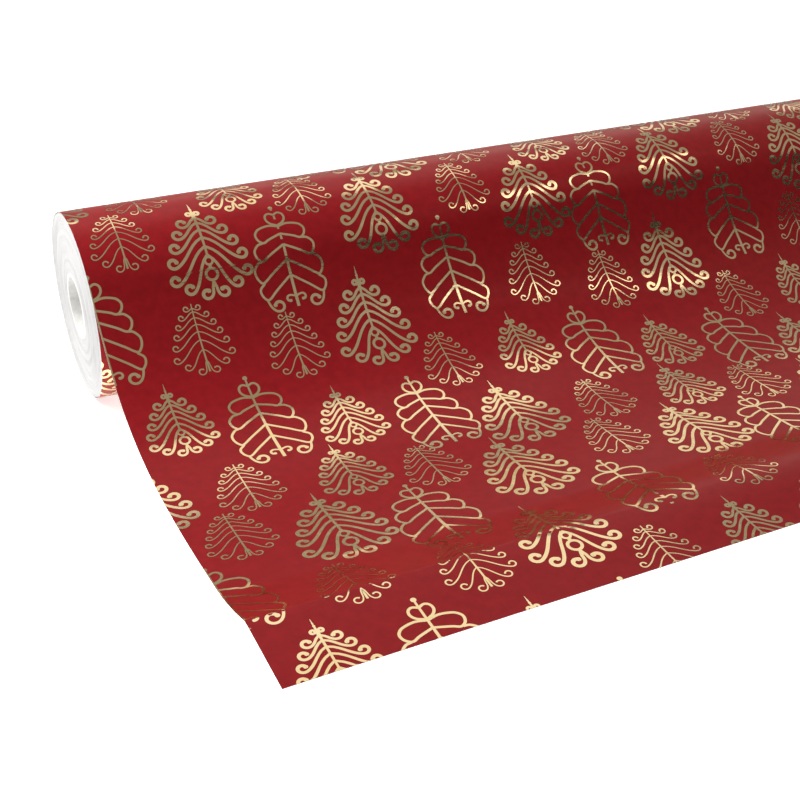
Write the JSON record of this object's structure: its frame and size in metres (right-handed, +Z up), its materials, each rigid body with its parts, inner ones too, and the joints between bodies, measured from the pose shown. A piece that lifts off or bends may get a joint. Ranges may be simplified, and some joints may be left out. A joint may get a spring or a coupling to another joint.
{
  "type": "gift wrap roll",
  "caption": "Counter roll of printed gift wrap on a spiral-wound board core, with its first length of paper drawn off over the front and lying forward on the table.",
  "frame": {"origin": "middle of the core's bore, on the roll's axis", "axes": "+X along the roll, +Z up, the sheet is drawn off towards -Y; the table is 60 mm below the origin"},
  "size_m": [0.7, 0.409, 0.12],
  "materials": {
    "core_board": "matte, spiral wound",
    "tape": "satin",
    "paper_edge": "matte cut edges",
    "printed_paper": "glossy coated",
    "paper_back": "matte uncoated",
    "gold_foil": "polished foil"
  },
  "bodies": {
    "drawn_web": {"outer_turn": "printed_paper", "falling_sheet": "printed_paper"},
    "roll": {"core_inner_ply": "core_board", "core_middle_ply": "core_board", "core_outer_ply": "core_board", "start_tape": "tape", "wound_pack": "paper_edge"},
    "sheet_front": {"landing_sheet": "printed_paper"}
  },
  "joints": [
    {"name": "roll_spin", "type": "hinge", "parent": "drawn_web", "child": "roll", "pos_m": [0, 0, 0], "axis": [1, 0, 0], "continuous": true},
    {"name": "sheet_lift", "type": "hinge", "parent": "drawn_web", "child": "sheet_front", "pos_m": [0, -0.205, -0.05898], "axis": [-1, 0, 0], "range_deg": [0, 60]}
  ]
}
